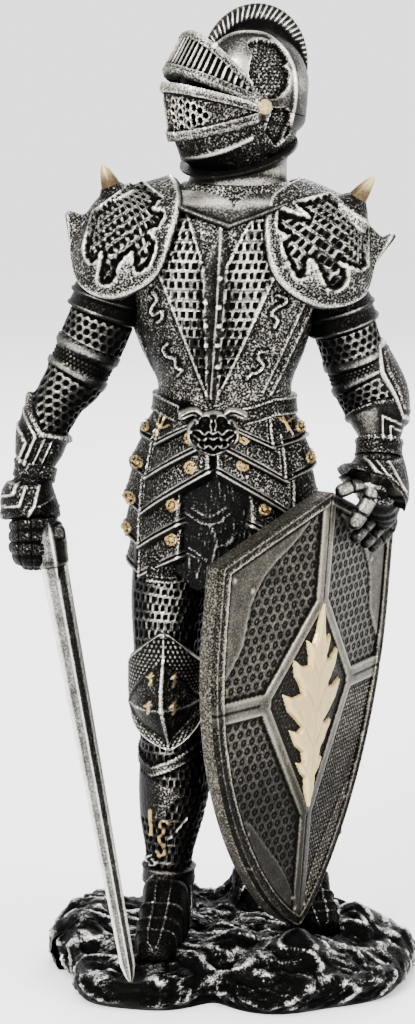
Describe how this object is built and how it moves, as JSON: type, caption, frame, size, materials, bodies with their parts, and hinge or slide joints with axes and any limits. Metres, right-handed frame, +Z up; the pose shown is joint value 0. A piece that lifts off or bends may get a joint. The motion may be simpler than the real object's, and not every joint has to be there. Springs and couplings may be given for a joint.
{
  "type": "medieval knight statue",
  "caption": "Standing figurine of a knight in plate armour and mail on a rocky base, a long sword in the right hand and a tall pointed shield under the left.",
  "frame": {"origin": "on the flat underside of the rocky base, below the middle of the figure", "axes": "+Z up, the knight faces -Y, and the knight's left hand is on the +X side"},
  "size_m": [0.1301, 0.092, 0.3],
  "materials": {
    "knight_on_rock": "cast resin painted antique silver: silver dry-brushed over a black wash",
    "sword": "cast resin painted worn silver",
    "shield": "cast resin painted dark pewter with a pale gold emblem"
  },
  "bodies": {
    "root": {"knight_on_rock": "knight_on_rock", "sword": "sword", "shield": "shield"}
  },
  "joints": []
}
